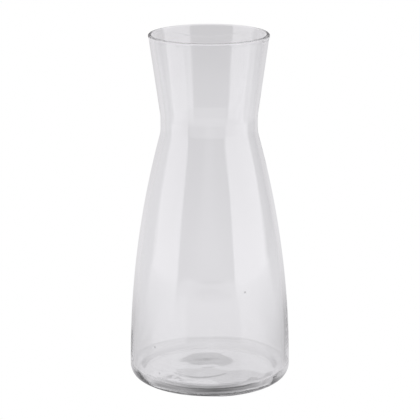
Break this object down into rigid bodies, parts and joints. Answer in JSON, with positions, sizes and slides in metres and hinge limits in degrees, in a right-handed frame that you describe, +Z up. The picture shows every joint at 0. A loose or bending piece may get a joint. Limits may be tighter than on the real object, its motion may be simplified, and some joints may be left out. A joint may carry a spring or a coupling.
{
  "type": "glass carafe",
  "caption": "Clear glass carafe with a flat base and a rounded heel, a long tapering body, a waisted throat and a flared mouth with a rounded lip, for holding and pouring drinks.",
  "frame": {"origin": "middle of the foot ring, on the plane that the carafe stands on", "axes": "+Z up along the axis of revolution, from the foot to the mouth; X and Y are free, because the vessel is round"},
  "size_m": [0.1054, 0.1054, 0.23],
  "materials": {
    "clear_glass": "polished"
  },
  "bodies": {
    "root": {"carafe_glass": "clear_glass"}
  },
  "joints": []
}
